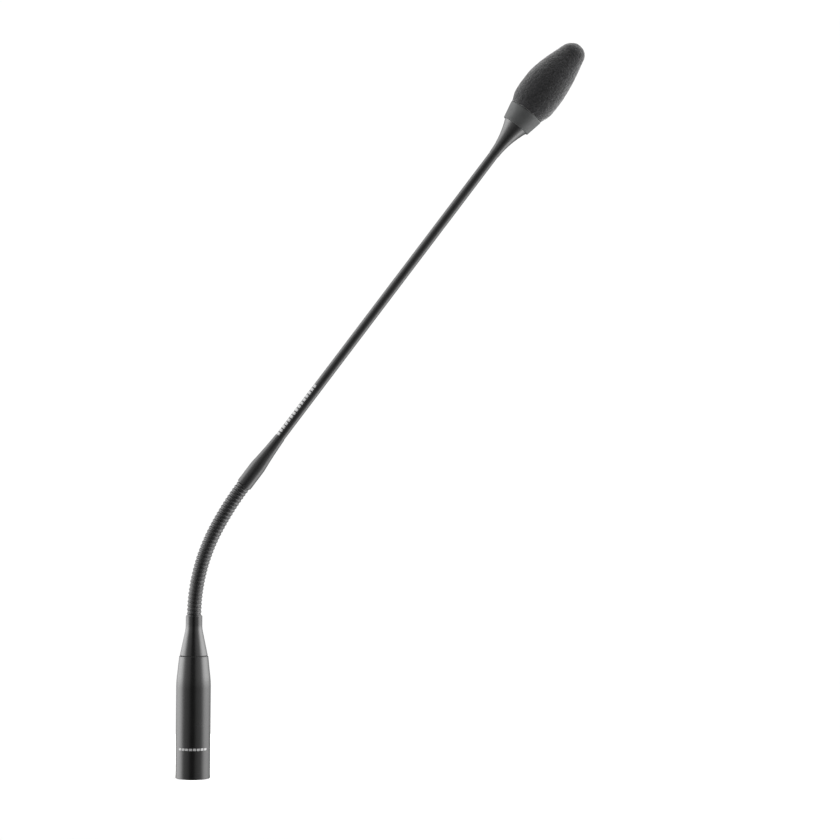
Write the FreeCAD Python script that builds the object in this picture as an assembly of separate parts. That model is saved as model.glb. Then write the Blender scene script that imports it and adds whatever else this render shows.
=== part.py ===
import FreeCAD, Part
import math
import os

# Gooseneck podium microphone, in millimetres.
#
# The microphone plugs into a socket with the three-pin connector in the mouth of its barrel.
# Origin: centre of the barrel's mouth. +Z: up along the barrel. The neck bends towards +X.
# A tapered cap on the barrel holds a wound flexible neck. The neck carries a slim boom tube
# through a joining sleeve, and the boom ends in a flared head with a light ring, an electret
# capsule in a slotted housing and a pull-off foam windscreen.
#
# Everything above the neck is drawn about its own Z axis, measured from the mouth of the
# joining sleeve, and then set on the end of the neck.

# ---- barrel and connector ----
SHELL_RADIUS = 9.5
SHELL_BORE = 8.0
MOUTH_ROUNDING = 0.4
BARREL_LENGTH = 66.5
TAPER_START = 50.0
TAPER_JOIN = (9.0, 57.5)
BARREL_TOP_RADIUS = 8.05
SPIGOT_RADIUS = 7.15
SPIGOT_DEPTH = 8.5
SEAM_GAP = 0.5
KEYWAY_WIDTH = 3.2
KEYWAY_DEPTH = 0.9
KEYWAY_LENGTH = 12.0
LATCH_WINDOW = (4.2, 2.8)
LATCH_WINDOW_Z = 4.5

INSERT_FACE = 14.5
INSERT_BACK = 25.0
PIN_RADIUS = 1.2
PIN_CIRCLE_RADIUS = 4.1
PIN_TIP = 2.0
PIN_ANGLES = (30.0, 150.0, 270.0)
SOLDER_CUP_RADIUS = 1.35
SOLDER_CUP_END = 30.0
LOCK_SCREW_RADIUS = 1.25
LOCK_SCREW_Z = 20.0

# ---- circuit board in the barrel ----
BOARD_WIDTH = 12.4
BOARD_THICKNESS = 1.0
BOARD_BOTTOM = 34.0
BOARD_TOP = 56.5
LEAD_RADIUS = 1.1
WIRE_RADIUS = 0.45

# ---- flexible neck ----
TURN_PITCH = 2.18
NECK_TURNS = 36
TURNS_PER_LINK = 2
TURN_RADIUS = 0.75
NECK_RADIUS = 3.75
NECK_BORE = NECK_RADIUS - 2 * TURN_RADIUS
NECK_VALLEY_RADIUS = 3.2
LOWER_STUB = 14.0
UPPER_STUB = 11.8
NECK_LENGTH = NECK_TURNS * TURN_PITCH
# The neck rests as two arcs that meet smoothly: (length, turn in degrees).
NECK_ARCS = ((50.0, 27.5), (NECK_LENGTH - 50.0, 9.1))

# ---- tapered cap ----
CAP_BASE_RADIUS = 7.8
CONE_TOP = (4.95, 80.5)
COLLAR_RADIUS = 4.53
COLLAR_BOTTOM = 84.5
COLLAR_TOP = 89.5
NECK_SOCKET_RADIUS = NECK_RADIUS + 0.05
FERRULE_RADIUS = NECK_RADIUS + 0.6
FERRULE_TOP = 79.0
SET_SCREW_RADIUS = 1.0
SET_SCREW_Z = 77.0

# ---- joining sleeve and boom ----
SLEEVE_RADIUS = 4.35
SLEEVE_STRAIGHT = 12.5
SLEEVE_LENGTH = 33.0
BOOM_RADIUS = 2.6
BOOM_BORE = 1.9
BOOM_BOTTOM = 13.6
BOOM_TOP = 240.0

# ---- head ----
FLARE_BOTTOM = 228.5
FLARE_TOP = 248.2
FLARE_TOP_RADIUS = 7.1
CARRIER_BORE = 4.4
CARRIER_SPIGOT_RADIUS = 5.2
CARRIER_RADIUS = 6.4
RING_BOTTOM = 248.3
RING_TOP = 258.0
RING_BOTTOM_RADIUS = 8.1
RING_TOP_RADIUS = 9.95
RETAINER_TOP = 258.6
HOUSING_RADIUS = 6.5
HOUSING_BORE = 5.72
HOUSING_TOP = 294.0
FOAM_BASE = 258.8
FOAM_TIP = 305.1
FOAM_RADIUS = 12.3
FOAM_NOSE_RADIUS = 7.47
FOAM_BORE = 6.62
SLIT = 0.02

OUT = "parts"


# ---- drawing helpers ----
def vector(x, y, z):
    return FreeCAD.Vector(x, y, z)


def upright(shape):
    """The same solid with its faces pointing outwards."""
    if shape.Volume < 0:
        shape.reverse()
    return shape


def turned(*corners):
    """Solid of revolution about Z, from an outline that runs anticlockwise with Z up.
    A corner is (r, z), or (r, z, turn) where an arc leads to it: the outline's direction changes
    by that many degrees along the arc, and the arc bulges outwards where the turn is positive."""
    edges = []
    for start, end in zip(corners, corners[1:] + corners[:1]):
        a = vector(start[0], 0, start[1])
        b = vector(end[0], 0, end[1])
        if len(end) == 3:
            chord = b - a
            bulge = math.tan(math.radians(end[2]) / 4) / 2
            edges.append(Part.Arc(a, (a + b) * 0.5 + vector(chord.z, 0, -chord.x) * bulge, b).toShape())
        else:
            edges.append(Part.makeLine(a, b))
    face = Part.Face(Part.Wire(edges))
    return upright(face.revolve(vector(0, 0, 0), vector(0, 0, 1), 360))


def tube(inner, outer, bottom, top):
    return turned((inner, bottom), (outer, bottom), (outer, top), (inner, top))


def rod(radius, bottom, top, x=0.0, y=0.0):
    return Part.makeCylinder(radius, top - bottom, vector(x, y, bottom))


def box(x_range, y_range, z_range):
    corner = vector(x_range[0], y_range[0], z_range[0])
    size = [high - low for low, high in (x_range, y_range, z_range)]
    return Part.makeBox(*size, corner)


def radial_rod(radius, inner, outer, z):
    """A cylinder that lies along +Y at height z."""
    return Part.makeCylinder(radius, outer - inner, vector(0, inner, z), vector(0, 1, 0))


def placed(shape, placement):
    copy = shape.copy()
    copy.Placement = placement.multiply(copy.Placement)
    return copy


def shifted(x, y, z):
    return FreeCAD.Placement(vector(x, y, z), FreeCAD.Rotation())


def spun(degrees):
    return FreeCAD.Placement(vector(0, 0, 0), FreeCAD.Rotation(vector(0, 0, 1), degrees))


def polar(radius, degrees):
    angle = math.radians(degrees)
    return radius * math.cos(angle), radius * math.sin(angle)


def swept(points, radius):
    """A round wire along straight runs, with each corner an arc of 0.45 of its shorter run."""
    edges = []
    last = points[0]
    for before, corner, after in zip(points, points[1:], points[2:]):
        run_in = corner - before
        run_out = after - corner
        half_turn = run_in.getAngle(run_out) / 2
        trim = 0.45 * min(run_in.Length, run_out.Length)
        start = corner - vector(*run_in).normalize() * trim
        end = corner + vector(*run_out).normalize() * trim
        to_centre = ((start + end) * 0.5 - corner).normalize()
        sagitta_point = corner + to_centre * (trim * math.tan(half_turn / 2))
        edges.append(Part.makeLine(last, start))
        edges.append(Part.Arc(start, sagitta_point, end).toShape())
        last = end
    edges.append(Part.makeLine(last, points[-1]))
    return piped(edges, radius)


def piped(edges, radius):
    """A round solid along a smooth run of edges."""
    path = Part.Wire(edges)
    first = path.Edges[0]
    section = Part.Wire(
        Part.makeCircle(radius, first.valueAt(first.FirstParameter), first.tangentAt(first.FirstParameter))
    )
    return upright(path.makePipeShell([section], True, False))


def neck_station(distance):
    """Where the neck's centre line is at a distance from the collar, and how it is turned."""
    x, z, angle = 0.0, COLLAR_TOP, 0.0
    for length, turn in NECK_ARCS:
        run = min(distance, length)
        bend = math.radians(turn)
        radius = length / bend
        end = angle + bend * run / length
        x += radius * (math.cos(angle) - math.cos(end))
        z += radius * (math.sin(end) - math.sin(angle))
        angle = end
        distance -= run
    return FreeCAD.Placement(
        vector(x, 0, z), FreeCAD.Rotation(vector(0, 1, 0), math.degrees(angle))
    )


def on_boom(shape):
    """A head or boom piece, set on the end of the neck."""
    return placed(shape, neck_station(NECK_LENGTH))


# ---- barrel and connector ----
def barrel_housing():
    body = turned(
        (SHELL_BORE + 0.4, 0.0),
        (SHELL_RADIUS - MOUTH_ROUNDING, 0.0),
        (SHELL_RADIUS, MOUTH_ROUNDING, 90),
        (SHELL_RADIUS, TAPER_START),
        (*TAPER_JOIN, 7.6),
        (BARREL_TOP_RADIUS, BARREL_LENGTH - 0.15),
        (BARREL_TOP_RADIUS - 0.15, BARREL_LENGTH),
        (SPIGOT_RADIUS + SLIT, BARREL_LENGTH),
        (SPIGOT_RADIUS + SLIT, BARREL_LENGTH - SPIGOT_DEPTH - 1.0),
        (SHELL_BORE, BARREL_LENGTH - SPIGOT_DEPTH - 1.9),
        (SHELL_BORE, 0.4),
    )
    keyway = box(
        (-KEYWAY_WIDTH / 2, KEYWAY_WIDTH / 2),
        (SHELL_BORE - 1.0, SHELL_BORE + KEYWAY_DEPTH),
        (-1.0, KEYWAY_LENGTH),
    )
    width, height = LATCH_WINDOW
    window = box(
        (-width / 2, width / 2),
        (SHELL_BORE - 1.0, SHELL_RADIUS + 1.0),
        (LATCH_WINDOW_Z, LATCH_WINDOW_Z + height),
    )
    screw_hole = radial_rod(LOCK_SCREW_RADIUS, SHELL_BORE - 1.0, SHELL_RADIUS + 1.0, LOCK_SCREW_Z)
    return body.cut([keyway, window, screw_hole])


def pin_places():
    return [polar(PIN_CIRCLE_RADIUS, angle) for angle in PIN_ANGLES]


def xlr_insert():
    body = turned(
        (0.0, INSERT_FACE),
        (SHELL_BORE - 0.6, INSERT_FACE),
        (SHELL_BORE - SLIT, INSERT_FACE + 0.6),
        (SHELL_BORE - SLIT, INSERT_BACK),
        (0.0, INSERT_BACK),
    )
    holes = [rod(PIN_RADIUS, INSERT_FACE - 1, INSERT_BACK + 1, x, y) for x, y in pin_places()]
    screw_pocket = radial_rod(LOCK_SCREW_RADIUS, SHELL_BORE - 2.0, SHELL_BORE + 1.0, LOCK_SCREW_Z)
    spring_slot = box((-1.25, 1.25), (-SHELL_BORE - 1, -7.52), (INSERT_FACE - 1, INSERT_BACK + 1))
    return body.cut(holes + [screw_pocket, spring_slot])


def contact_pin(x, y):
    """A turned contact pin with a rounded nose and an open solder cup behind the insert."""
    pin = turned(
        (0.0, PIN_TIP),
        (PIN_RADIUS - 0.4, PIN_TIP),
        (PIN_RADIUS, PIN_TIP + 0.8, 53),
        (PIN_RADIUS, INSERT_BACK),
        (SOLDER_CUP_RADIUS, INSERT_BACK),
        (SOLDER_CUP_RADIUS, SOLDER_CUP_END),
        (SOLDER_CUP_RADIUS - 0.35, SOLDER_CUP_END),
        (SOLDER_CUP_RADIUS - 0.35, INSERT_BACK + 1.0),
        (0.0, INSERT_BACK + 1.0),
    )
    outward = 1 if y > 0 else -1
    cup_side = box(
        (-SOLDER_CUP_RADIUS, SOLDER_CUP_RADIUS),
        tuple(sorted((outward * 0.5, outward * 2.0))),
        (INSERT_BACK + 2.0, SOLDER_CUP_END + 1.0),
    )
    return placed(pin.cut(cup_side), shifted(x, y, 0))


def ground_spring():
    """A bent strip that joins the connector's ground to the barrel wall."""
    leaf = box((-1.15, 1.15), (-7.85, -7.57), (INSERT_FACE + 0.8, 27.0))
    tail = box((-1.15, 1.15), (-7.57, -6.2), (26.7, 27.0))
    return leaf.fuse(tail).removeSplitter()


def slotted_screw(radius, inner, outer, z):
    """A headless screw that lies along +Y, with a driver slot in its outer end."""
    body = radial_rod(radius, inner, outer, z)
    slot = box((-radius, radius), (outer - 0.5, outer + 1.0), (z - 0.2, z + 0.2))
    return body.cut(slot)


def insert_lock_screw():
    return slotted_screw(LOCK_SCREW_RADIUS - SLIT, SHELL_BORE - 1.8, SHELL_RADIUS - 0.35, LOCK_SCREW_Z)


# ---- circuit board ----
def preamp_board():
    """Circuit board across the barrel, with its two top corners notched."""
    half = BOARD_WIDTH / 2
    board = box((-half, half), (-BOARD_THICKNESS / 2, BOARD_THICKNESS / 2), (BOARD_BOTTOM, BOARD_TOP))
    notches = []
    for edge in (-half, half):
        notches.append(box((edge - 1.0, edge + 1.0), (-1, 1), (BOARD_TOP - 1.5, BOARD_TOP + 1.0)))
    return board.cut(notches)


def board_capacitors():
    """Two can capacitors that stand on the board's +Y face, each with a groove round its foot."""
    can = turned(
        (0.0, 0.0),
        (2.0, 0.0),
        (2.0, 0.8),
        (1.85, 0.95),
        (1.85, 1.15),
        (2.0, 1.3),
        (2.0, 4.6),
        (1.7, 4.9),
        (0.0, 4.9),
    )
    on_its_side = FreeCAD.Rotation(vector(1, 0, 0), -90)
    foot = BOARD_THICKNESS / 2
    cans = [placed(can, FreeCAD.Placement(vector(x, foot, 44.5), on_its_side)) for x in (-3.3, 3.3)]
    return Part.makeCompound(cans)


def board_chip():
    """An eight-leg amplifier chip on the board's -Y face."""
    face = -BOARD_THICKNESS / 2
    chip = box((-1.95, 1.95), (face - 1.65, face - 0.15), (42.5, 47.4))
    for leg in range(4):
        z = 43.1 + leg * 1.27
        for low, high in ((-3.0, -1.95), (1.95, 3.0)):
            chip = chip.fuse(box((low, high), (face - 0.9, face), (z - 0.2, z + 0.2)))
    return chip.removeSplitter()


def board_resistors():
    """Small surface-mount resistors in two rows, on both faces of the board."""
    face = BOARD_THICKNESS / 2
    pieces = []
    for z in (49.2, 51.6, 53.8):
        for x in (-4.6, 4.6):
            pieces.append(box((x - 0.4, x + 0.4), (face, face + 0.5), (z - 0.8, z + 0.8)))
            pieces.append(box((x - 0.4, x + 0.4), (-face - 0.5, -face), (z - 0.8, z + 0.8)))
    return Part.makeCompound(pieces)


def pin_wires():
    """Three short wires from the solder cups to pads at the foot of the board."""
    pad_y = BOARD_THICKNESS / 2 + WIRE_RADIUS + SLIT
    wires = []
    for x, y in pin_places():
        side = 1 if y > 0 else -1
        route = [
            vector(x, y, INSERT_BACK + 2.5),
            vector(x, y, SOLDER_CUP_END + 1.2),
            vector(x, side * pad_y, BOARD_BOTTOM + 1.2),
            vector(x, side * pad_y, BOARD_BOTTOM + 4.2),
        ]
        wires.append(swept(route, WIRE_RADIUS))
    return Part.makeCompound(wires)


def lead_clamp():
    """A saddle on the board that grips the microphone lead."""
    y = BOARD_THICKNESS / 2
    saddle = box((-2.1, 2.1), (y, y + 2.9), (51.5, 54.0))
    channel = rod(LEAD_RADIUS + SLIT, 50.0, 56.0, 0, y + SLIT + LEAD_RADIUS)
    return saddle.cut([channel, box((-1.12, 1.12), (y - 1, y + 1.1), (50.0, 56.0))])


def lead_in_barrel():
    y = BOARD_THICKNESS / 2 + SLIT + LEAD_RADIUS
    route = [vector(0, y, 49.0), vector(0, y, 60.0), vector(0, 0, 66.5), vector(0, 0, COLLAR_TOP)]
    return swept(route, LEAD_RADIUS)


# ---- tapered cap ----
def seam_gasket():
    return tube(SPIGOT_RADIUS + SLIT, CAP_BASE_RADIUS - 0.35, BARREL_LENGTH, BARREL_LENGTH + SEAM_GAP)


def neck_cap():
    """Cone and collar on top of the barrel, with a spigot that screws into it."""
    ferrule_socket = FERRULE_RADIUS + 0.05
    foot = BARREL_LENGTH + SEAM_GAP
    spigot_bottom = BARREL_LENGTH - SPIGOT_DEPTH
    cap = turned(
        (ferrule_socket, spigot_bottom),
        (SPIGOT_RADIUS - 0.3, spigot_bottom),
        (SPIGOT_RADIUS, spigot_bottom + 0.3),
        (SPIGOT_RADIUS, foot),
        (CAP_BASE_RADIUS - 0.12, foot),
        (CAP_BASE_RADIUS, foot + 0.12),
        CONE_TOP,
        (COLLAR_RADIUS, COLLAR_BOTTOM, -12),
        (COLLAR_RADIUS, COLLAR_TOP - 0.45),
        (COLLAR_RADIUS - 0.3, COLLAR_TOP),
        (NECK_SOCKET_RADIUS, COLLAR_TOP),
        (NECK_SOCKET_RADIUS, FERRULE_TOP + 0.1),
        (ferrule_socket, FERRULE_TOP + 0.1),
    )
    return cap.cut(radial_rod(SET_SCREW_RADIUS, NECK_RADIUS, CAP_BASE_RADIUS, SET_SCREW_Z))


def neck_ferrule():
    """A cup crimped on the lower end of the flexible neck."""
    bottom = COLLAR_TOP - LOWER_STUB
    return turned(
        (NECK_BORE, bottom - 1.0),
        (FERRULE_RADIUS - 0.3, bottom - 1.0),
        (FERRULE_RADIUS, bottom - 0.7),
        (FERRULE_RADIUS, FERRULE_TOP),
        (NECK_RADIUS + SLIT, FERRULE_TOP),
        (NECK_RADIUS + SLIT, bottom),
        (NECK_BORE, bottom),
    )


def neck_set_screw():
    return slotted_screw(SET_SCREW_RADIUS - SLIT, FERRULE_RADIUS + SLIT, 5.55, SET_SCREW_Z)


# ---- flexible neck ----
def turn_outline(z, valley_below, valley_above):
    """Outline of one turn of the round wire at height z, from its lower side to its upper side.
    On a side with a valley the outline stops at the inner wire, and elsewhere it runs to the bore."""
    to_valley = math.acos((NECK_VALLEY_RADIUS - NECK_RADIUS + TURN_RADIUS) / TURN_RADIUS)
    rise = TURN_RADIUS * math.sin(to_valley)
    turn = math.degrees(to_valley)
    lower = (NECK_VALLEY_RADIUS, z - rise) if valley_below else (NECK_BORE, z)
    crest = (NECK_RADIUS, z, turn if valley_below else 180)
    upper = (NECK_VALLEY_RADIUS, z + rise, turn) if valley_above else (NECK_BORE, z, 180)
    return lower, crest, upper


def neck_link():
    """A rigid length of neck about its own centre: two turns of round wire on the inner wire."""
    half = TURN_PITCH / 2
    return turned(*turn_outline(-half, False, True), *turn_outline(half, True, False))


def neck_end(stub):
    """An end of the neck: one turn above z = 0, and a plain stub below it that a socket holds."""
    return turned(
        (NECK_BORE, -stub),
        (NECK_RADIUS, -stub),
        (NECK_RADIUS, 0.0),
        (NECK_VALLEY_RADIUS, 0.0),
        *turn_outline(TURN_PITCH / 2, True, False),
    )


def neck_links():
    """All rigid lengths of the neck, from the collar to the joining sleeve."""
    link_length = TURNS_PER_LINK * TURN_PITCH
    upside_down = FreeCAD.Placement(vector(0, 0, 0), FreeCAD.Rotation(vector(1, 0, 0), 180))
    links = [placed(neck_end(LOWER_STUB), neck_station(0.0))]
    for index in range(1, NECK_TURNS // TURNS_PER_LINK):
        links.append(placed(neck_link(), neck_station(index * link_length)))
    links.append(on_boom(placed(neck_end(UPPER_STUB), upside_down)))
    return links


def lead_in_neck():
    """The lead inside the neck, on the neck's own centre line."""
    edges = []
    start = 0.0
    for length, _ in NECK_ARCS:
        points = [neck_station(start + length * share).Base for share in (0.0, 0.5, 1.0)]
        edges.append(Part.Arc(*points).toShape())
        start += length
    return piped(edges, LEAD_RADIUS)


# ---- joining sleeve and boom ----
def joining_sleeve():
    return turned(
        (NECK_SOCKET_RADIUS, 0.0),
        (SLEEVE_RADIUS - 0.25, 0.0),
        (SLEEVE_RADIUS, 0.35),
        (SLEEVE_RADIUS, SLEEVE_STRAIGHT),
        (BOOM_RADIUS + 0.2, SLEEVE_LENGTH, -4),
        (BOOM_RADIUS + SLIT, SLEEVE_LENGTH),
        (BOOM_RADIUS + SLIT, BOOM_BOTTOM - 0.1),
        (NECK_SOCKET_RADIUS, UPPER_STUB + 0.2),
    )


def boom_tube():
    return tube(BOOM_BORE, BOOM_RADIUS, BOOM_BOTTOM, BOOM_TOP)


def lead_in_boom():
    return rod(LEAD_RADIUS, 0.0, 268.0)


# ---- head ----
def head_flare():
    """Trumpet-shaped end of the boom that carries the light ring."""
    return turned(
        (BOOM_RADIUS + SLIT, FLARE_BOTTOM),
        (BOOM_RADIUS + 0.15, FLARE_BOTTOM),
        (FLARE_TOP_RADIUS, FLARE_TOP, -24),
        (CARRIER_SPIGOT_RADIUS + SLIT, FLARE_TOP),
        (CARRIER_SPIGOT_RADIUS + SLIT, 245.5),
        (CARRIER_BORE, 245.5),
        (BOOM_RADIUS + SLIT, 240.4),
    )


def ring_carrier():
    """Inner sleeve that joins the flare, the light ring and the capsule housing."""
    return turned(
        (CARRIER_BORE, 245.5 + SLIT),
        (CARRIER_SPIGOT_RADIUS, 245.5 + SLIT),
        (CARRIER_SPIGOT_RADIUS, FLARE_TOP),
        (CARRIER_RADIUS, FLARE_TOP),
        (CARRIER_RADIUS, RETAINER_TOP),
        (HOUSING_BORE - SLIT, RETAINER_TOP),
        (HOUSING_BORE - SLIT, 264.6),
        (CARRIER_BORE, 264.6),
    )


def light_ring():
    """Conical diffuser with a pocket in its top for the lamps and their board."""
    return turned(
        (CARRIER_RADIUS + SLIT, RING_BOTTOM),
        (RING_BOTTOM_RADIUS - 0.15, RING_BOTTOM),
        (RING_BOTTOM_RADIUS, RING_BOTTOM + 0.25),
        (RING_TOP_RADIUS - 0.1, RING_TOP - 0.8),
        (RING_TOP_RADIUS, RING_TOP - 0.4),
        (RING_TOP_RADIUS - 0.1, RING_TOP),
        (8.7, RING_TOP),
        (8.7, RING_TOP - 2.2),
        (CARRIER_RADIUS + SLIT, RING_TOP - 2.2),
    )


def lamp_board():
    return tube(CARRIER_RADIUS + 0.1, 8.6, RING_TOP - 1.0, RING_TOP - 0.2)


def ring_lamps():
    """Six small lamps under the lamp board."""
    lamps = []
    for index in range(6):
        lamp = box((7.1, 8.1), (-0.8, 0.8), (RING_TOP - 1.8, RING_TOP - 1.0))
        lamps.append(placed(lamp, spun(index * 60)))
    return Part.makeCompound(lamps)


def ring_retainer():
    return tube(CARRIER_RADIUS + SLIT, 8.95, RING_TOP, RETAINER_TOP)


def capsule_housing():
    """Slotted tube around the capsule. Sound reaches the back of the capsule through the slots."""
    body = turned(
        (HOUSING_BORE, RETAINER_TOP),
        (HOUSING_RADIUS, RETAINER_TOP),
        (HOUSING_RADIUS, HOUSING_TOP - 0.8),
        (HOUSING_RADIUS - 0.8, HOUSING_TOP, 90),
        (4.9, HOUSING_TOP),
        (4.9, HOUSING_TOP - 0.7),
        (HOUSING_BORE, HOUSING_TOP - 0.7),
    )
    slot = box((HOUSING_BORE - 1, HOUSING_RADIUS + 1), (-0.65, 0.65), (267.0, 274.0))
    slots = [
        placed(slot, spun(index * 36))
        for index in range(10)
    ]
    return body.cut(slots)


def front_mesh():
    """Perforated disc under the housing's front lip."""
    disc = rod(HOUSING_BORE - SLIT, HOUSING_TOP - 1.2, HOUSING_TOP - 0.7)
    holes = []
    for ring in range(1, 4):
        for index in range(6 * ring):
            x, y = polar(1.4 * ring, index * 60 / ring)
            holes.append(rod(0.42, HOUSING_TOP - 2, HOUSING_TOP, x, y))
    return disc.cut(holes)


def rear_felt():
    """Sleeve of acoustic felt behind the slots."""
    return tube(HOUSING_BORE - 0.35, HOUSING_BORE - SLIT, 265.0, 276.0)


def capsule_mount():
    """Rubber sleeve that holds the capsule clear of the housing."""
    return turned(
        (4.92, 279.0),
        (HOUSING_BORE - SLIT, 279.0),
        (HOUSING_BORE - SLIT, 281.0),
        (HOUSING_BORE - 0.3, 281.4),
        (HOUSING_BORE - 0.3, 288.6),
        (HOUSING_BORE - SLIT, 289.0),
        (HOUSING_BORE - SLIT, 291.0),
        (4.92, 291.0),
    )


def capsule_can():
    return turned(
        (4.5, 280.0), (4.9, 280.0), (4.9, 289.8), (4.7, 290.0), (2.5, 290.0), (2.5, 289.6), (4.5, 289.6)
    )


def capsule_diaphragm():
    return rod(4.45, 289.0, 289.1)


def diaphragm_ring():
    return tube(3.9, 4.45, 289.1, 289.55)


def capsule_backplate():
    plate = rod(4.1, 288.0, 288.7)
    return plate.cut([rod(0.4, 287, 290, *polar(2.2, angle)) for angle in range(0, 360, 60)])


def backplate_holder():
    """Insulating cup that spaces the backplate from the diaphragm and the capsule board."""
    return turned(
        (3.3, 281.5), (4.45, 281.5), (4.45, 289.0), (4.1 + SLIT, 289.0), (4.1 + SLIT, 288.0), (3.3, 288.0)
    )


def capsule_board():
    return rod(4.45, 280.5, 281.5)


def capsule_transistor():
    return box((-1.3, 1.3), (-0.7, 0.7), (281.5, 282.6))


def capsule_wires():
    """Two wires from the end of the lead to the back of the capsule."""
    wires = []
    for side in (-1, 1):
        route = [
            vector(side * 0.5, 0, 268.0),
            vector(side * 0.5, 0, 271.0),
            vector(side * 1.9, 0, 276.5),
            vector(side * 1.9, 0, 280.5),
        ]
        wires.append(swept(route, 0.35))
    return Part.makeCompound(wires)


# ---- windscreen ----
def windscreen():
    """Foam cover that pulls off the capsule housing, with its thickest part low down."""
    bore_top = HOUSING_TOP + 0.6
    nose_angle = 74.8
    nose_start, nose_rise = polar(FOAM_NOSE_RADIUS, 90 - nose_angle)
    return turned(
        (FOAM_BORE, FOAM_BASE),
        (9.7, FOAM_BASE),
        (9.9, 259.1),
        (12.1, 266.2, 27.7),
        (FOAM_RADIUS, 273.0, 3.4),
        (11.55, 282.0, 9.5),
        (9.8, 290.0, 5.7),
        (nose_start, FOAM_TIP - FOAM_NOSE_RADIUS + nose_rise),
        (0.0, FOAM_TIP, nose_angle),
        (0.0, bore_top),
        (FOAM_BORE, bore_top),
    )


# ---- the microphone ----
def microphone():
    """Every separate piece, by name."""
    pieces = {
        "barrel_housing": barrel_housing(),
        "xlr_insert": xlr_insert(),
        "ground_spring": ground_spring(),
        "insert_lock_screw": insert_lock_screw(),
        "preamp_board": preamp_board(),
        "board_capacitors": board_capacitors(),
        "board_chip": board_chip(),
        "board_resistors": board_resistors(),
        "pin_wires": pin_wires(),
        "lead_clamp": lead_clamp(),
        "lead_in_barrel": lead_in_barrel(),
        "seam_gasket": seam_gasket(),
        "neck_cap": neck_cap(),
        "neck_ferrule": neck_ferrule(),
        "neck_set_screw": neck_set_screw(),
        "lead_in_neck": lead_in_neck(),
    }
    for number, (x, y) in enumerate(pin_places(), start=1):
        pieces[f"xlr_pin_{number}"] = contact_pin(x, y)
    for index, link in enumerate(neck_links()):
        pieces[f"neck_link_{index:02d}"] = link
    boom_pieces = {
        "joining_sleeve": joining_sleeve(),
        "boom_tube": boom_tube(),
        "lead_in_boom": lead_in_boom(),
        "head_flare": head_flare(),
        "ring_carrier": ring_carrier(),
        "light_ring": light_ring(),
        "lamp_board": lamp_board(),
        "ring_lamps": ring_lamps(),
        "ring_retainer": ring_retainer(),
        "capsule_housing": capsule_housing(),
        "front_mesh": front_mesh(),
        "rear_felt": rear_felt(),
        "capsule_mount": capsule_mount(),
        "capsule_can": capsule_can(),
        "capsule_diaphragm": capsule_diaphragm(),
        "diaphragm_ring": diaphragm_ring(),
        "capsule_backplate": capsule_backplate(),
        "backplate_holder": backplate_holder(),
        "capsule_board": capsule_board(),
        "capsule_transistor": capsule_transistor(),
        "capsule_wires": capsule_wires(),
        "windscreen": windscreen(),
    }
    for name, shape in boom_pieces.items():
        pieces[name] = on_boom(shape)
    return pieces


os.makedirs(OUT, exist_ok=True)
for name, shape in microphone().items():
    if not shape.isValid() or shape.Volume <= 0:
        raise ValueError(f"{name} is not a sound solid")
    shape.exportStep(f"{OUT}/{name}.step")
    print(f"{name}: {len(shape.Solids)} solid(s), {shape.Volume:.1f} mm3")
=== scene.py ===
import math

import bmesh
import bpy
from mathutils import Matrix, Vector, noise

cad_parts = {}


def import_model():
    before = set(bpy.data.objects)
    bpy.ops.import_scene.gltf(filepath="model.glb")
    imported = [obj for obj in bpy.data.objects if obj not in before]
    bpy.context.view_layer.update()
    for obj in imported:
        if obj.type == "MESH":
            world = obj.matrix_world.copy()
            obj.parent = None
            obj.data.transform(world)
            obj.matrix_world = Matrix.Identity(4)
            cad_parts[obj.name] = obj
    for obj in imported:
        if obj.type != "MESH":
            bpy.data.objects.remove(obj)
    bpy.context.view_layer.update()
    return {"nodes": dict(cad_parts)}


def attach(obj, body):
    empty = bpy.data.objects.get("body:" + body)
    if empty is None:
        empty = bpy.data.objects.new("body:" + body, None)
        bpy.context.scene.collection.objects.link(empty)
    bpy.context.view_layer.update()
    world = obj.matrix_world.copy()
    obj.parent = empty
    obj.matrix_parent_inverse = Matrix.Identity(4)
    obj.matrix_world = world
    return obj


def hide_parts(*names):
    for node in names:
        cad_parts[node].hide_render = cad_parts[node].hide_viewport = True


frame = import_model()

# Gooseneck podium microphone. Lengths are in millimetres and become metres as a mesh is made.
MM = 0.001
STEPS_ROUND = 128
# room between two pieces that fit in each other
FIT = 0.02

# ---- barrel and cap ----
SHELL_RADIUS = 9.5
SHELL_BORE = 8.0
SHELL_BORE_TOP = 56.1
BARREL_STRAIGHT = 50.0
BARREL_LENGTH = 67.2
SPIGOT_RADIUS = 7.15
SPIGOT_FOOT = 58.0
SPIGOT_BORE_FOOT = 57.0
CAP_FOOT = 67.7
CAP_BORE = 4.4
COLLAR_RADIUS = 4.53
COLLAR_FOOT = 84.5
COLLAR_TOP = 89.5
NECK_SOCKET_RADIUS = 4.05
NECK_SOCKET_FLOOR = 79.1
WINDOW_HEIGHTS = (4.5, 7.3)
LOCK_SCREW_HEIGHT = 20.0
SET_SCREW_HEIGHT = 77.0
MARK_HEIGHT = 16.6

# ---- flexible neck ----
TURN_PITCH = 2.18
TURNS_PER_LINK = 2
LINK_LENGTH = TURNS_PER_LINK * TURN_PITCH
LINKS = 18
NECK_LENGTH = LINKS * LINK_LENGTH
NECK_ARCS = ((50.0, 27.5), (NECK_LENGTH - 50.0, 9.1))
ROUND_WIRE_RADIUS = 0.78
ROUND_WIRE_CENTRE = 3.22
INNER_WIRE_OUTLINE = (
    (3.56, -0.40), (3.64, -0.30), (3.66, 0.0), (3.64, 0.30), (3.56, 0.40),
    (3.2, 0.30), (2.7, 0.36), (2.7, -0.36), (3.2, -0.30),
)
LEAD_RADIUS = 1.1
LEAD_OVERLAP = 0.2

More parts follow.
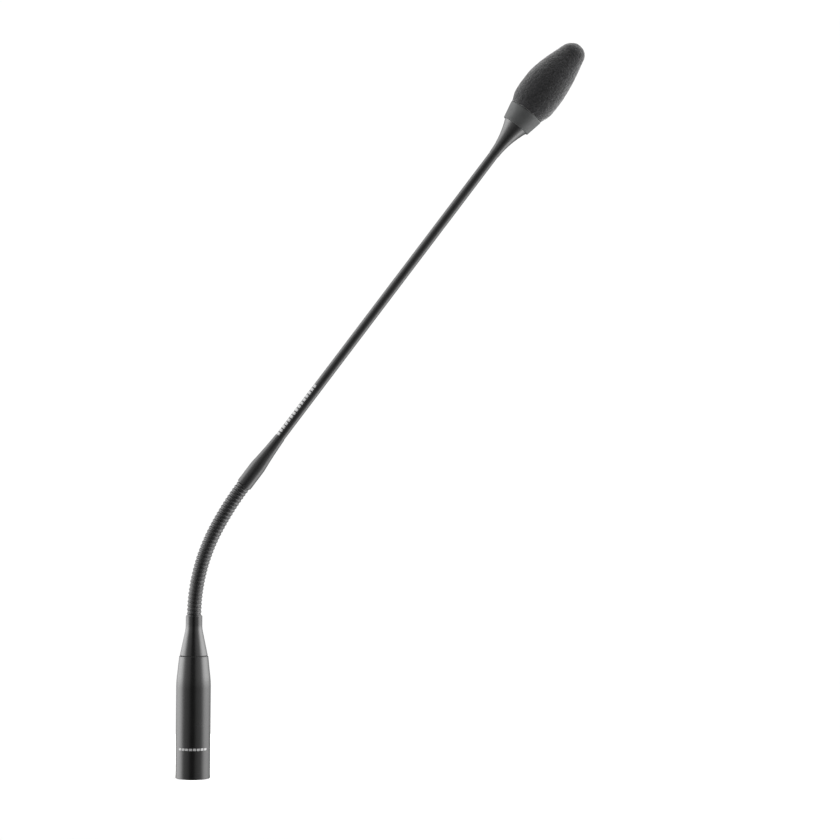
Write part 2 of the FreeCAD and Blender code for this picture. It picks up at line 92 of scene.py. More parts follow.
# ---- boom and head, along the boom's axis from the sleeve's mouth ----
SLEEVE_RADIUS = 4.35
SLEEVE_STRAIGHT = 12.5
SLEEVE_LENGTH = 33.0
BOOM_RADIUS = 2.68
BOOM_BORE = 1.9
BOOM_FOOT = 13.6
BOOM_TOP = 240.0
BOOM_MARK_HEIGHT = 50.6
FLARE_BOTTOM = 228.5
FLARE_TOP = 248.2
FLARE_TOP_RADIUS = 7.2
CARRIER_SEAT = 245.5
CARRIER_SEAT_RADIUS = 5.22
RING_BOTTOM = 248.3
RING_TOP = 258.0
RING_BORE = 6.42
RING_BOTTOM_RADIUS = 8.1
RING_TOP_RADIUS = 9.95
LAMP_RECESS_RADIUS = 8.7
LAMP_RECESS_DEPTH = 2.2
# the foam's skirt reaches down round the lamp retainer, which is 8.95 mm in radius
FOAM_FOOT = 258.25
FOAM_SKIRT_BORE = 9.1
FOAM_BASE = 258.8
FOAM_TIP = 304.8
FOAM_BORE = 6.62
FOAM_BORE_TOP = 294.6
FOAM_BELLY_FOOT = 268.0
FOAM_LEAN = 1.45
FOAM_LEAN_FROM = 278.0
FOAM_LEAN_RUN = 25.0
FOAM_NOSE_RADIUS = 7.2
FOAM_NOSE_ANGLE = 74.8


# ---- places ----
def neck_station(distance):
    """Place on the neck's centre line, with +Z along it, at a distance in mm from the collar."""
    x, z, angle = 0.0, COLLAR_TOP, 0.0
    if distance < 0:
        return Matrix.Translation((0, 0, z + distance))
    for length, turn in NECK_ARCS:
        run = min(distance, length)
        radius = length / math.radians(turn)
        end = angle + run / radius
        x += radius * (math.cos(angle) - math.cos(end))
        z += radius * (math.sin(end) - math.sin(angle))
        angle = end
        distance -= run
    place = Matrix.Translation((x, 0, z)) @ Matrix.Rotation(angle, 4, "Y")
    return place @ Matrix.Translation((0, 0, distance))


BARREL = Matrix.Identity(4)
BOOM = neck_station(NECK_LENGTH)


# ---- mesh helpers ----
def mesh_object(name, points, faces, place=BARREL):
    """An object from points in mm about its own place, smooth except at hard edges."""
    mesh = bpy.data.meshes.new(name)
    mesh.from_pydata([(place @ Vector(p)) * MM for p in points], [], faces)
    mesh.validate()
    made = bpy.data.objects.new(name, mesh)
    bpy.context.scene.collection.objects.link(made)
    outwards(made)
    soften(made)
    return made


def outwards(made):
    """All faces look out of the solid."""
    work = bmesh.new()
    work.from_mesh(made.data)
    bmesh.ops.recalc_face_normals(work, faces=work.faces)
    work.to_mesh(made.data)
    work.free()


def soften(made, hard_degrees=34):
    made.data.shade_smooth()
    made.data.set_sharp_from_angle(angle=math.radians(hard_degrees))


def outline(corners, step_degrees=6):
    """Points of a closed outline, anticlockwise with Z up. A corner is (r, z, rounding, turn).
    A rounding replaces the corner with a fillet of that radius. A turn makes the run that leads
    to the corner an arc that turns by that many degrees and bulges outwards if it is positive."""
    corners = [(*c, 0, 0)[:4] for c in corners]
    points = []
    for index, (r, z, rounding, turn) in enumerate(corners):
        before = Vector(corners[index - 1][:2])
        here = Vector((r, z))
        after = Vector(corners[(index + 1) % len(corners)][:2])
        if turn:
            chord = here - before
            half = math.radians(turn) / 2
            radius = chord.length / 2 / math.sin(half)
            middle = (before + here) / 2
            centre = middle + Vector((-chord.y, chord.x)).normalized() * radius * math.cos(half)
            start = before - centre
            steps = max(2, round(abs(turn) / step_degrees))
            for step in range(1, steps):
                spin = Matrix.Rotation(math.radians(turn) * step / steps, 2)
                points.append(centre + spin @ start)
        if rounding:
            points += fillet(before, here, after, rounding)
        else:
            points.append(here)
    return [(p.x, p.y) for p in points]


def fillet(before, corner, after, radius, steps=5):
    to_before = (before - corner).normalized()
    to_after = (after - corner).normalized()
    half = to_before.angle(to_after) / 2
    trim = radius / math.tan(half)
    start = corner + to_before * trim
    end = corner + to_after * trim
    centre = corner + (to_before + to_after).normalized() * radius / math.sin(half)
    points = []
    for step in range(steps + 1):
        share = step / steps
        direction = (start - centre).slerp(end - centre, share)
        points.append(centre + direction.normalized() * radius)
    return points


def lathe(name, corners, place=BARREL, steps=STEPS_ROUND, step_degrees=6):
    """A closed solid of revolution about its place's Z axis."""
    return weighted(lathe_from(outline(corners, step_degrees), name, place, steps))


def lathe_from(profile, name, place, steps):
    points, rings = [], []
    for r, z in profile:
        if r < 1e-6:
            rings.append([len(points)] * steps)
            points.append((0, 0, z))
            continue
        rings.append(list(range(len(points), len(points) + steps)))
        for k in range(steps):
            angle = 2 * math.pi * k / steps
            points.append((r * math.cos(angle), r * math.sin(angle), z))
    faces = []
    for lower, upper in zip(rings, rings[1:] + rings[:1]):
        for k in range(steps):
            n = (k + 1) % steps
            face = list(dict.fromkeys((lower[k], lower[n], upper[n], upper[k])))
            if len(face) > 2:
                faces.append(face)
    return mesh_object(name, points, faces, place)


def weighted(made):
    """Large flat faces keep their own normals beside small fillets."""
    modifier = made.modifiers.new("flat_faces", "WEIGHTED_NORMAL")
    modifier.keep_sharp = True
    return made


def block(name, low, high):
    x, y, z = zip(low, high)
    points = [(a, b, c) for a in x for b in y for c in z]
    faces = [(0, 1, 3, 2), (4, 6, 7, 5), (0, 4, 5, 1), (2, 3, 7, 6), (0, 2, 6, 4), (1, 5, 7, 3)]
    return mesh_object(name, points, faces)


def peg(name, radius, start, end, height, steps=40):
    """A cylinder along +Y, from start to end, at a height on the barrel's middle plane."""
    points, faces = [], []
    for y in (start, end):
        for k in range(steps):
            angle = 2 * math.pi * k / steps
            points.append((radius * math.cos(angle), y, height + radius * math.sin(angle)))
    for k in range(steps):
        n = (k + 1) % steps
        faces.append((k, n, steps + n, steps + k))
    faces.append(tuple(range(steps)))
    faces.append(tuple(range(2 * steps - 1, steps - 1, -1)))
    return mesh_object(name, points, faces)


def cut(made, *cutters):
    """Takes the cutters out of the object for good."""
    flat_faces = made.modifiers.get("flat_faces")
    if flat_faces:
        made.modifiers.remove(flat_faces)
    for cutter in cutters:
        modifier = made.modifiers.new("cut", "BOOLEAN")
        modifier.operation = "DIFFERENCE"
        modifier.solver = "EXACT"
        modifier.object = cutter
    depsgraph = bpy.context.evaluated_depsgraph_get()
    made.data = bpy.data.meshes.new_from_object(made.evaluated_get(depsgraph))
    made.modifiers.clear()
    for cutter in cutters:
        bpy.data.objects.remove(cutter)
    soften(made)
    weighted(made)
    return made


def wound(name, spans, steps_per_turn=56):
    """Wires wound round the neck, a turn per pitch. A span is (section, start distance, end
    distance, start turn), and a section's points are (distance from the axis, height)."""
    points, faces = [], []
    for section, start, end, offset in spans:
        steps = max(2, round((end - start) / TURN_PITCH * steps_per_turn))
        size = len(section)
        base = len(points)
        for step in range(steps + 1):
            distance = start + (end - start) * step / steps
            place = neck_station(distance)
            angle = 2 * math.pi * (distance / TURN_PITCH + offset)
            out = Vector((math.cos(angle), math.sin(angle), 0))
            for r, height in section:
                points.append(place @ (out * r + Vector((0, 0, height))))
            if step:
                for k in range(size):
                    n = (k + 1) % size
                    low, high = base + (step - 1) * size, base + step * size
                    faces.append((low + k, low + n, high + n, high + k))
        faces.append(tuple(base + k for k in reversed(range(size))))
        faces.append(tuple(base + steps * size + k for k in range(size)))
    return mesh_object(name, points, faces)


def finished(made, body, slot, material, *nodes):
    """The piece gets its material, rides on its body and stands for its CAD nodes."""
    made.data.materials.clear()
    made.data.materials.append(material)
    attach(made, body)
    if nodes:
        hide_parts(*nodes)
    return made


# ---- materials ----
class Surface:
    """A Principled material with helpers that wire procedural detail into it."""

    def __init__(self, name, colour, roughness, **sockets):
        self.material = bpy.data.materials.new(name)
        self.material.use_nodes = True
        self.nodes = self.material.node_tree.nodes
        self.links = self.material.node_tree.links
        self.shader = self.nodes["Principled BSDF"]
        self.place = self.nodes.new("ShaderNodeTexCoord")
        self.bump_normal = None
        self.put("Base Color", (*colour, 1))
        self.put("Roughness", roughness)
        for socket, value in sockets.items():
            self.put(socket.replace("_", " ").title().replace("Ior", "IOR"), value)

    def put(self, socket, value):
        self.shader.inputs[socket].default_value = value

    def noise(self, size, detail=4, stretch=(1, 1, 1)):
        """Noise whose features are about size mm across."""
        scale = self.nodes.new("ShaderNodeMapping")
        scale.inputs["Scale"].default_value = stretch
        texture = self.nodes.new("ShaderNodeTexNoise")
        texture.inputs["Scale"].default_value = 1 / (size * MM)
        texture.inputs["Detail"].default_value = detail
        self.links.new(self.place.outputs["Object"], scale.inputs["Vector"])
        self.links.new(scale.outputs["Vector"], texture.inputs["Vector"])
        return texture.outputs["Fac"]

    def cells(self, size, feature="F1"):
        """Cells about size mm across."""
        texture = self.nodes.new("ShaderNodeTexVoronoi")
        texture.feature = feature
        texture.inputs["Scale"].default_value = 1 / (size * MM)
        self.links.new(self.place.outputs["Object"], texture.inputs["Vector"])
        return texture.outputs["Distance"]

    def spread(self, source, low, high, start=0.3, stop=0.7):
        """The source's values from start to stop, spread over low to high."""
        node = self.nodes.new("ShaderNodeMapRange")
        node.inputs["From Min"].default_value = start
        node.inputs["From Max"].default_value = stop
        node.inputs["To Min"].default_value = low
        node.inputs["To Max"].default_value = high
        self.links.new(source, node.inputs["Value"])
        return node.outputs["Result"]

    def colours(self, source, low, high, start=0.3, stop=0.7):
        ramp = self.nodes.new("ShaderNodeValToRGB")
        ramp.color_ramp.elements[0].position = start
        ramp.color_ramp.elements[0].color = (*low, 1)
        ramp.color_ramp.elements[1].position = stop
        ramp.color_ramp.elements[1].color = (*high, 1)
        self.links.new(source, ramp.inputs["Fac"])
        self.links.new(ramp.outputs["Color"], self.shader.inputs["Base Color"])
        return ramp.outputs["Color"]

    def rough(self, source, low, high, start=0.3, stop=0.7):
        self.links.new(self.spread(source, low, high, start, stop), self.shader.inputs["Roughness"])

    def bump(self, source, height, strength=1.0):
        """Relief that is height mm from its lowest to its highest point. Calls add up."""
        node = self.nodes.new("ShaderNodeBump")
        node.inputs["Distance"].default_value = height * MM
        node.inputs["Strength"].default_value = strength
        self.links.new(source, node.inputs["Height"])
        if self.bump_normal:
            self.links.new(self.bump_normal, node.inputs["Normal"])
        self.bump_normal = node.outputs["Normal"]
        self.links.new(self.bump_normal, self.shader.inputs["Normal"])


def satin_black(name, tone=0.004, roughness=(0.22, 0.28), grain=0.45):
    """Satin black coating on metal: a fine even grain, with faint handling marks."""
    made = Surface(name, (tone,) * 3, roughness[0], specular_ior_level=0.5)
    made.colours(made.noise(6), (tone * 0.85,) * 3, (tone * 1.2, tone * 1.2, tone * 1.25))
    made.rough(made.noise(9, detail=6), *roughness)
    made.bump(made.noise(grain, detail=3), 0.006, 0.5)
    made.bump(made.noise(grain * 2.5, detail=3), 0.02, 0.5)
    return made.material


def wire_black():
    made = Surface("neck_wire_black", (0.006,) * 3, 0.36)
    made.colours(made.noise(1.6), (0.004,) * 3, (0.009, 0.009, 0.0095))
    made.rough(made.noise(2.5), 0.32, 0.46)
    made.bump(made.noise(0.25), 0.01, 0.5)
    return made.material


def moulded(name, low, high, roughness, size=2.0, height=0.01, **sockets):
    """Plastic or rubber with a faint moulded texture."""
    made = Surface(name, low, roughness, **sockets)
    made.colours(made.noise(size * 2), low, high)
    made.rough(made.noise(size, detail=5), roughness * 0.88, min(1.0, roughness * 1.12))
    made.bump(made.noise(size / 8), height, 0.5)
    return made.material


def bare_metal(name, low, high, roughness, stretch=(1, 1, 14), size=2.0):
    """Bare or plated metal with fine turning marks."""
    made = Surface(name, low, roughness, metallic=1.0)
    made.colours(made.noise(size * 2), low, high)
    marks = made.noise(size, detail=6, stretch=stretch)
    made.rough(marks, roughness * 0.8, roughness * 1.25)
    made.bump(marks, 0.008, 0.35)
    return made.material


def foam_black():
    """Open-cell foam: fine pores over soft mottling, pale where light grazes its fibres."""
    made = Surface("windscreen_foam", (0.015,) * 3, 1.0, sheen_weight=0.58, sheen_roughness=0.4)
    made.put("Specular IOR Level", 0.15)
    made.colours(made.noise(0.9, detail=6), (0.008, 0.008, 0.0084), (0.029, 0.029, 0.0302))
    made.bump(made.cells(0.55), 0.26, 0.9)
    made.bump(made.noise(0.6, detail=6), 0.12, 0.6)
    return made.material


def ring_plastic():
    """Smoked diffuser with a soft satin face."""
    made = Surface("ring_diffuser", (0.044,) * 3, 0.6, specular_ior_level=0.3)
    made.colours(made.noise(5), (0.040, 0.041, 0.041), (0.050, 0.052, 0.052))
    made.rough(made.noise(3, detail=5), 0.55, 0.65)
    made.bump(made.noise(0.35), 0.006, 0.4)
    return made.material


def lacquer_green():
    """Board lacquer over faint copper tracks."""
    made = Surface("board_lacquer", (0.01, 0.10, 0.04), 0.3, coat_weight=0.5)
    tracks = made.cells(2.2, feature="DISTANCE_TO_EDGE")
    made.colours(tracks, (0.02, 0.19, 0.07), (0.008, 0.09, 0.035), 0.05, 0.12)
    made.rough(made.noise(3), 0.25, 0.4)
    made.bump(tracks, 0.03, 0.5)
    return made.material


BLACK = satin_black("satin_black")
BOOM_BLACK = satin_black("boom_satin_black", tone=0.008, roughness=(0.30, 0.38), grain=0.3)
WIRE = wire_black()
FOAM = foam_black()
RING = ring_plastic()
RUBBER = moulded("black_rubber", (0.004,) * 3, (0.008,) * 3, 0.7)
INSULATOR = moulded("black_insulator", (0.015,) * 3, (0.025,) * 3, 0.5)
PALE_INSULATOR = moulded("pale_insulator", (0.55, 0.54, 0.5), (0.66, 0.65, 0.6), 0.5)
SILVER = bare_metal("silver_plating", (0.66, 0.64, 0.6), (0.82, 0.8, 0.76), 0.2)
STEEL = bare_metal("bare_steel", (0.4, 0.4, 0.41), (0.56, 0.56, 0.57), 0.32)
ALUMINIUM = bare_metal("bare_aluminium", (0.6, 0.61, 0.63), (0.76, 0.77, 0.78), 0.3)
BRASS = bare_metal("bare_brass", (0.55, 0.4, 0.16), (0.7, 0.54, 0.26), 0.28)
BOARD = lacquer_green()
RED_WIRE = moulded("red_insulation", (0.36, 0.03, 0.025), (0.5, 0.05, 0.04), 0.4)
LAMP = moulded("red_lamp", (0.42, 0.02, 0.018), (0.6, 0.04, 0.03), 0.25, coat_weight=0.4)
JACKET = moulded("lead_jacket", (0.03,) * 3, (0.05,) * 3, 0.6)
FELT = moulded("acoustic_felt", (0.03,) * 3, (0.07,) * 3, 1.0, size=0.8, height=0.12)
FILM = bare_metal("metallised_film", (0.6, 0.56, 0.44), (0.75, 0.7, 0.56), 0.12)
PRINT = moulded("pale_print", (0.28,) * 3, (0.36,) * 3, 0.55, size=0.6, height=0.004)


# ---- CAD nodes that stay, with their finish ----
KEPT = {
    INSULATOR: ("xlr_insert", "board_chip", "board_resistors", "capsule_transistor"),
    SILVER: ("xlr_pin_1", "xlr_pin_2", "xlr_pin_3", "ground_spring"),
    STEEL: ("insert_lock_screw", "neck_set_screw"),
    BOARD: ("preamp_board", "lamp_board", "capsule_board"),
    ALUMINIUM: ("board_capacitors", "ring_carrier", "capsule_can", "diaphragm_ring"),
    RED_WIRE: ("pin_wires", "capsule_wires"),
    PALE_INSULATOR: ("lead_clamp", "backplate_holder"),
    JACKET: ("lead_in_barrel", "lead_in_boom"),
    BRASS: ("neck_ferrule", "capsule_backplate"),
    RUBBER: ("capsule_mount", "ring_retainer"),
    LAMP: ("ring_lamps",),
    BLACK: ("capsule_housing", "front_mesh"),
    FELT: ("rear_felt",),
    FILM: ("capsule_diaphragm",),
}
for material, names in KEPT.items():
    for name in names:
        node = frame["nodes"][name]
        node.data.materials.clear()
        node.data.materials.append(material)
        soften(node, 30)


# ---- barrel ----
def barrel():
    made = lathe(
        "barrel_shell",
        [
            (SHELL_BORE, 0.0, 0.35),
            (SHELL_RADIUS, 0.0, 0.4),
            (SHELL_RADIUS, BARREL_STRAIGHT),
            (9.0, 57.5, 0, 7.6),
            (7.98, BARREL_LENGTH, 0.2),
            (SPIGOT_RADIUS + FIT, BARREL_LENGTH, 0.08),
            (SPIGOT_RADIUS + FIT, SPIGOT_BORE_FOOT),
            (SHELL_BORE, SHELL_BORE_TOP),
        ],
        step_degrees=1,
    )
    inside, outside = SHELL_BORE - 1.0, SHELL_RADIUS + 1.0
    low, high = WINDOW_HEIGHTS
    keyway = block("keyway", (-1.6, inside, -1.0), (1.6, SHELL_BORE + 0.9, 12.0))
    window = block("window", (-2.1, inside, low), (2.1, outside, high))
    screw_hole = peg("screw_hole", 1.25, inside, outside, LOCK_SCREW_HEIGHT)
    cut(made, keyway, window, screw_hole)
    finished(made, "barrel", "barrel_black", BLACK, "barrel_housing")


def gasket():
    """The dark line of the seam between barrel and cap."""
    inner, outer = SPIGOT_RADIUS + FIT, 7.5
    made = lathe(
        "seam_gasket_band",
        [(inner, BARREL_LENGTH), (outer, BARREL_LENGTH), (outer, CAP_FOOT), (inner, CAP_FOOT)],
    )
    finished(made, "barrel", "gasket_rubber", RUBBER, "seam_gasket")


def cap():
    made = lathe(
        "neck_cap_cone",
        [
            (CAP_BORE, SPIGOT_FOOT),
            (SPIGOT_RADIUS, SPIGOT_FOOT, 0.3),
            (SPIGOT_RADIUS, CAP_FOOT),
            (7.66, CAP_FOOT, 0.12),
            (4.95, 80.5),
            (COLLAR_RADIUS, COLLAR_FOOT, 0, -12),
            (COLLAR_RADIUS, COLLAR_TOP, 0.35),
            (NECK_SOCKET_RADIUS, COLLAR_TOP, 0.12),
            (NECK_SOCKET_RADIUS, NECK_SOCKET_FLOOR),
            (CAP_BORE, NECK_SOCKET_FLOOR),
        ],
        step_degrees=1,
    )
    cut(made, peg("set_screw_hole", 1.0, 3.9, 8.0, SET_SCREW_HEIGHT))
    finished(made, "barrel", "cap_black", BLACK, "neck_cap")


# ---- flexible neck ----
def round_wire(steps=14):
    """The round wire's section."""
    section = []
    for k in range(steps):
        angle = 2 * math.pi * k / steps
        r = ROUND_WIRE_CENTRE + ROUND_WIRE_RADIUS * math.cos(angle)
        section.append((r, ROUND_WIRE_RADIUS * math.sin(angle)))
    return section


def neck_joint(k):
    """Where link k gives way to the next, in mm from the collar. Hinges bend the neck forward and
    sideways in turn, and the wires part on each hinge's own axis, so that they stay in line."""
    on_axis = TURN_PITCH / 4 if k % 2 == 0 else 0.0
    return (k + 0.5) * LINK_LENGTH + on_axis


def flexible_neck():
    """Two wires wound together, and the lead inside them, in a rigid span for each link."""
    spare = 2 * TURN_PITCH
    for k in range(LINKS + 1):
        body = "barrel" if k == 0 else "boom" if k == LINKS else f"neck_{k:02d}"
        start = -spare if k == 0 else neck_joint(k - 1)
        end = NECK_LENGTH + spare if k == LINKS else neck_joint(k)
        wires = [(round_wire(), start, end, 0.0), (INNER_WIRE_OUTLINE, start, end, 0.5)]
        name = f"neck_link_{LINKS}" if k == LINKS else f"neck_link_{k:02d}"
        finished(wound(f"neck_winding_{k:02d}", wires), body, "neck_wire", WIRE, name)
        if 0 < k < LINKS:
            neck_lead(k, body, start, end)


def neck_lead(k, body, start, end, rings=6, steps=20):
    """The lead inside one link, a little longer than it so that no gap opens as the neck bends."""
    start, end = start - LEAD_OVERLAP, end + LEAD_OVERLAP
    points, faces = [], []
    for ring in range(rings + 1):
        place = neck_station(start + (end - start) * ring / rings)
        for step in range(steps):
            angle = 2 * math.pi * step / steps
            out = Vector((math.cos(angle), math.sin(angle), 0))
            points.append(place @ (out * LEAD_RADIUS))
            if ring:
                n = (step + 1) % steps
                low, high = (ring - 1) * steps, ring * steps
                faces.append((low + step, low + n, high + n, high + step))
    faces.append(tuple(reversed(range(steps))))
    faces.append(tuple(rings * steps + step for step in range(steps)))
    made = mesh_object(f"neck_lead_{k:02d}", points, faces)
    finished(made, body, "lead_jacket", JACKET, *(["lead_in_neck"] if k == 1 else []))


# ---- boom ----
def sleeve():
    made = lathe(
        "joining_sleeve_taper",
        [
            (NECK_SOCKET_RADIUS, 0.0, 0.06),
            (SLEEVE_RADIUS, 0.0, 0.2),
            (SLEEVE_RADIUS, SLEEVE_STRAIGHT),
            (BOOM_RADIUS + 0.2, SLEEVE_LENGTH, 0, -4),
            (BOOM_RADIUS + FIT, SLEEVE_LENGTH),
            (BOOM_RADIUS + FIT, 13.5),
            (NECK_SOCKET_RADIUS, 12.0),
        ],
        BOOM,
        step_degrees=1,
    )
    finished(made, "boom", "sleeve_black", BOOM_BLACK, "joining_sleeve")


def boom():
    made = lathe(
        "boom_rod",
        [
            (BOOM_BORE, BOOM_FOOT, 0.1),
            (BOOM_RADIUS, BOOM_FOOT, 0.15),
            (BOOM_RADIUS, BOOM_TOP, 0.15),
            (BOOM_BORE, BOOM_TOP, 0.1),
        ],
        BOOM,
    )
    finished(made, "boom", "boom_black", BOOM_BLACK, "boom_tube")


# ---- head ----
def flare():
    made = lathe(
        "head_flare_trumpet",
        [
            (BOOM_RADIUS + FIT, FLARE_BOTTOM),
            (BOOM_RADIUS + 0.15, FLARE_BOTTOM),
            (FLARE_TOP_RADIUS, FLARE_TOP, 0, -22),
            (CARRIER_SEAT_RADIUS, FLARE_TOP),
            (CARRIER_SEAT_RADIUS, CARRIER_SEAT),
            (4.4, CARRIER_SEAT),
            (BOOM_RADIUS + FIT, 240.4),
        ],
        BOOM,
        step_degrees=1,
    )
    finished(made, "boom", "flare_black", BOOM_BLACK, "head_flare")


def light_ring():
    made = lathe(
        "light_ring_diffuser",
        [
            (RING_BORE, RING_BOTTOM, 0.1),
            (RING_BOTTOM_RADIUS, RING_BOTTOM, 0.22),
            (RING_TOP_RADIUS, RING_TOP - 0.7, 0.3),
            (RING_TOP_RADIUS - 0.1, RING_TOP, 0.2),
            (LAMP_RECESS_RADIUS, RING_TOP, 0.1),
            (LAMP_RECESS_RADIUS, RING_TOP - LAMP_RECESS_DEPTH, 0.1),
            (RING_BORE, RING_TOP - LAMP_RECESS_DEPTH, 0.1),
        ],
        BOOM,
    )
    finished(made, "boom", "ring_diffuser", RING, "light_ring")


def foam_outline():
    """The foam's own section in short even steps, from its bore round its foot to its tip."""
    spacing = 0.26
    start = math.radians(90 - FOAM_NOSE_ANGLE)
    nose = (FOAM_NOSE_RADIUS * math.cos(start), FOAM_TIP - FOAM_NOSE_RADIUS * (1 - math.sin(start)))
    profile = outline(
        [
            (FOAM_BORE, FOAM_BORE_TOP, 0.3),
            (FOAM_BORE, FOAM_BASE, 0.5),
            (FOAM_SKIRT_BORE, FOAM_BASE),
            (FOAM_SKIRT_BORE, FOAM_FOOT),
            (RING_TOP_RADIUS, FOAM_FOOT, 0.3),
            (10.2, 259.3),
            (12.1, 266.2, 0, 24),
            (12.25, 273.0, 0, 4),
            (11.4, 282.0, 0, 9.5),
            (9.65, 290.0, 0, 5.7),
            nose,
            (0.0, FOAM_TIP, 0, FOAM_NOSE_ANGLE),
            (0.0, FOAM_BORE_TOP),
        ],
        step_degrees=2,
    )
    fine = []
    for (r0, z0), (r1, z1) in zip(profile, profile[1:] + profile[:1]):
        on_axis = r0 < 1e-6 and r1 < 1e-6
        count = 1 if on_axis else max(1, round(math.hypot(r1 - r0, z1 - z0) / spacing))
        fine += [(r0 + (r1 - r0) * i / count, z0 + (z1 - z0) * i / count) for i in range(count)]
    return fine


def foam_relief(point):
    """How far the open-cell surface stands out at a point, in mm."""
    lumps = noise.fractal(point * 0.55, 0.8, 2.0, 4) * 0.10
    pores = noise.noise(point * 2.2) * 0.12 + noise.noise(point * 4.1) * 0.06
    return lumps + pores


def foam():
    """Foam cover with an open-cell surface, a bore for the capsule and a tip that leans a little."""
    made = lathe_from(foam_outline(), "foam_windscreen", BARREL, 300)
    mesh = made.data
    nose_middle = FOAM_TIP - FOAM_NOSE_RADIUS
    for vertex in mesh.vertices:
        p = Vector(vertex.co) / MM
        outside = math.hypot(p.x, p.y) > FOAM_BORE + 0.8 or p.z > FOAM_BORE_TOP + 1.4
        if outside:
            middle = Vector((0, 0, min(max(p.z, FOAM_BELLY_FOOT), nose_middle)))
            even_foot = min(1.0, max(0.1, (p.z - RING_TOP) / 2))
            p += (p - middle).normalized() * foam_relief(p) * even_foot
            share = min(1.0, max(0.0, (p.z - FOAM_LEAN_FROM) / FOAM_LEAN_RUN))
            p.x += FOAM_LEAN * share**1.25
        vertex.co = (BOOM @ p) * MM
    finished(made, "windscreen", "foam", FOAM, "windscreen")


# ---- plain printed marks in place of lettering ----
def marks(name, body, place, radius, along, count, pitch, width, length, facing, slot):
    """A row of plain dashes printed on a round wall, either along it or round it."""
    points, faces = [], []
    thickness = 0.025
    for index in range(count):
        offset = (index - (count - 1) / 2) * pitch
        base = len(points)
        cells = 6
        for i in range(cells + 1):
            for j in (0, 1):
                for r in (radius - 0.05, radius + thickness):
                    if along:
                        z = offset + (j - 0.5) * length
                        angle = facing + (i / cells - 0.5) * width / radius
                    else:
                        z = (j - 0.5) * width
                        angle = facing + (offset + (i / cells - 0.5) * length) / radius
                    points.append((r * math.cos(angle), r * math.sin(angle), z))
        for i in range(cells):
            a = base + 4 * i
            faces += [
                (a + 1, a + 5, a + 7, a + 3),
                (a, a + 2, a + 6, a + 4),
                (a, a + 4, a + 5, a + 1),
                (a + 2, a + 3, a + 7, a + 6),
            ]
        faces += [(base, base + 1, base + 3, base + 2)]
        last = base + 4 * cells
        faces += [(last, last + 2, last + 3, last + 1)]
    made = mesh_object(name, points, faces, place)
    finished(made, body, slot, PRINT)


FRONT = -math.pi / 2

barrel()
gasket()
cap()
flexible_neck()
sleeve()
boom()
flare()
light_ring()
foam()
marks(
    "barrel_marks", "barrel", Matrix.Translation((0, 0, MARK_HEIGHT)), SHELL_RADIUS, along=False,
    count=8, pitch=2.2, width=1.25, length=1.75, facing=FRONT + 0.06, slot="barrel_black",
)
marks(
    "boom_marks", "boom", BOOM @ Matrix.Translation((0, 0, BOOM_MARK_HEIGHT)), BOOM_RADIUS, along=True,
    count=15, pitch=2.35, width=2.1, length=1.5, facing=FRONT - 0.78, slot="boom_black",
)


# ---- floor, light and camera ----
def floor(radius=200.0, steps=96):
    """A pale round floor under the plug. The head, when it is bent down, stays outside it."""
    points = [(0, 0, 0)]
    for k in range(steps):
        angle = 2 * math.pi * k / steps
        points.append((radius * math.cos(angle), radius * math.sin(angle), 0))
    made = mesh_object("floor", points, [(0, k + 1, (k + 1) % steps + 1) for k in range(steps)])
    pale = Surface("pale_floor", (0.72, 0.72, 0.72), 0.8)
    pale.rough(pale.noise(60), 0.75, 0.85)
    pale.put("Emission Color", (1, 1, 1, 1))
    pale.put("Emission Strength", 0.25)
    made.data.materials.append(pale.material)
    # the object is lit as if it stood in an even white tent
    made.visible_diffuse = False
    made.visible_glossy = False


# Brightness of the studio: round its wall, as (cosine of the angle from straight behind the object,
# brightness), and by height on each side, as (sine of the elevation, share).
LIGHT_ROUND_WALL = (
    (-1.0, 0.08), (-0.978, 0.1), (-0.93, 0.48), (-0.73, 0.8), (-0.57, 1.0), (-0.47, 1.35),
    (-0.37, 2.1), (-0.28, 3.1), (-0.14, 4.4), (0.06, 5.0), (0.31, 4.3), (0.56, 3.0), (0.8, 1.2),
    (0.93, 0.5), (0.978, 0.15), (1.0, 0.12),
)
LIGHT_ON_LEFT = (
    (-1.0, 1.0), (-0.6, 0.9), (-0.2, 1.1), (-0.1, 1.4), (0.07, 2.0), (0.3, 1.7), (0.5, 1.25),
    (1.0, 0.9),
)
LIGHT_ON_RIGHT = (
    (-1.0, 2.6), (-0.75, 2.0), (-0.6, 1.3), (-0.2, 0.95), (-0.1, 1.1), (0.07, 2.2), (0.4, 2.1),
    (0.7, 1.4), (1.0, 1.0),
)


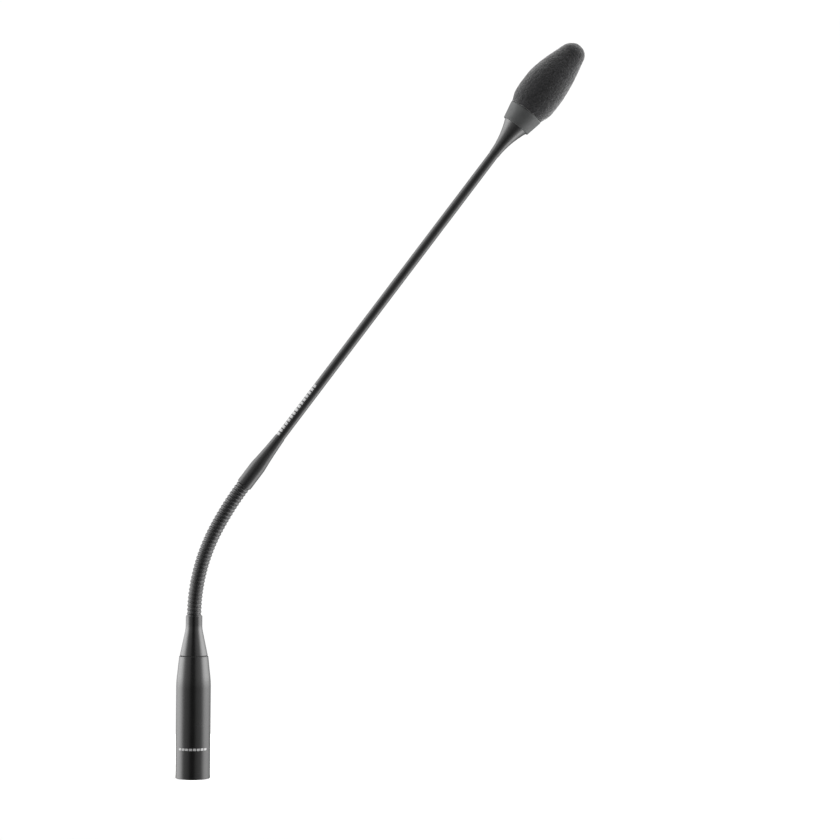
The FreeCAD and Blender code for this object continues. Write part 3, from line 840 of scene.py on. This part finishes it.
def world():
    """White studio: broad soft light from both sides and dim towards the camera, so that black
    metal shows pale edges. The backdrop itself is plain white."""
    made = bpy.data.worlds.new("studio")
    bpy.context.scene.world = made
    made.use_nodes = True
    nodes, links = made.node_tree.nodes, made.node_tree.links
    backdrop, output = nodes["Background"], nodes["World Output"]
    backdrop.inputs["Color"].default_value = (1, 1, 1, 1)
    backdrop.inputs["Strength"].default_value = 1.02
    light = nodes.new("ShaderNodeBackground")
    direction = nodes.new("ShaderNodeTexCoord").outputs["Generated"]
    level, compass = nodes.new("ShaderNodeVectorMath"), nodes.new("ShaderNodeVectorMath")
    level.operation, compass.operation = "MULTIPLY", "NORMALIZE"
    level.inputs[1].default_value = (1, 1, 0)
    links.new(direction, level.inputs[0])
    links.new(level.outputs["Vector"], compass.inputs[0])

    def from_minus_one(vector, axis):
        """A direction's part along an axis, from -1 to 1, brought to 0 to 1."""
        split, moved = nodes.new("ShaderNodeSeparateXYZ"), nodes.new("ShaderNodeMapRange")
        moved.inputs["From Min"].default_value = -1
        links.new(vector, split.inputs["Vector"])
        links.new(split.outputs[axis], moved.inputs["Value"])
        return moved.outputs["Result"]

    def read_off(source, values):
        """The value of a table of (place from -1 to 1, value) at the source."""
        highest = max(value for _, value in values)
        curve, scaled = nodes.new("ShaderNodeFloatCurve"), nodes.new("ShaderNodeMath")
        points = curve.mapping.curves[0].points
        for index, (at, value) in enumerate(values):
            spot = ((at + 1) / 2, value / highest)
            if index < 2:
                points[index].location = spot
            else:
                points.new(*spot)
        curve.mapping.update()
        scaled.operation = "MULTIPLY"
        scaled.inputs[1].default_value = highest
        links.new(source, curve.inputs["Value"])
        links.new(curve.outputs["Value"], scaled.inputs[0])
        return scaled.outputs["Value"]

    height = from_minus_one(direction, "Z")
    sides, strength = nodes.new("ShaderNodeMix"), nodes.new("ShaderNodeMath")
    strength.operation = "MULTIPLY"
    links.new(from_minus_one(direction, "X"), sides.inputs["Factor"])
    links.new(read_off(height, LIGHT_ON_LEFT), sides.inputs["A"])
    links.new(read_off(height, LIGHT_ON_RIGHT), sides.inputs["B"])
    round_wall = from_minus_one(compass.outputs["Vector"], "Y")
    links.new(read_off(round_wall, LIGHT_ROUND_WALL), strength.inputs[0])
    links.new(sides.outputs["Result"], strength.inputs[1])
    links.new(strength.outputs["Value"], light.inputs["Strength"])
    ray = nodes.new("ShaderNodeLightPath")
    both = nodes.new("ShaderNodeMixShader")
    links.new(ray.outputs["Is Camera Ray"], both.inputs["Fac"])
    links.new(light.outputs["Background"], both.inputs[1])
    links.new(backdrop.outputs["Background"], both.inputs[2])
    links.new(both.outputs["Shader"], output.inputs["Surface"])


def camera():
    """About level with the middle of the object, looking along +Y, with half a degree of roll."""
    data = bpy.data.cameras.new("camera")
    data.lens = 111.0
    data.sensor_width = 36.0
    data.clip_start, data.clip_end = 0.05, 50
    made = bpy.data.objects.new("camera", data)
    made.location = (0.1236, -1.428, 0.1984)
    made.rotation_euler = (math.radians(90), math.radians(-0.5), 0)
    bpy.context.scene.collection.objects.link(made)
    bpy.context.scene.camera = made


floor()
world()
camera()
bpy.context.scene.view_settings.view_transform = "Standard"
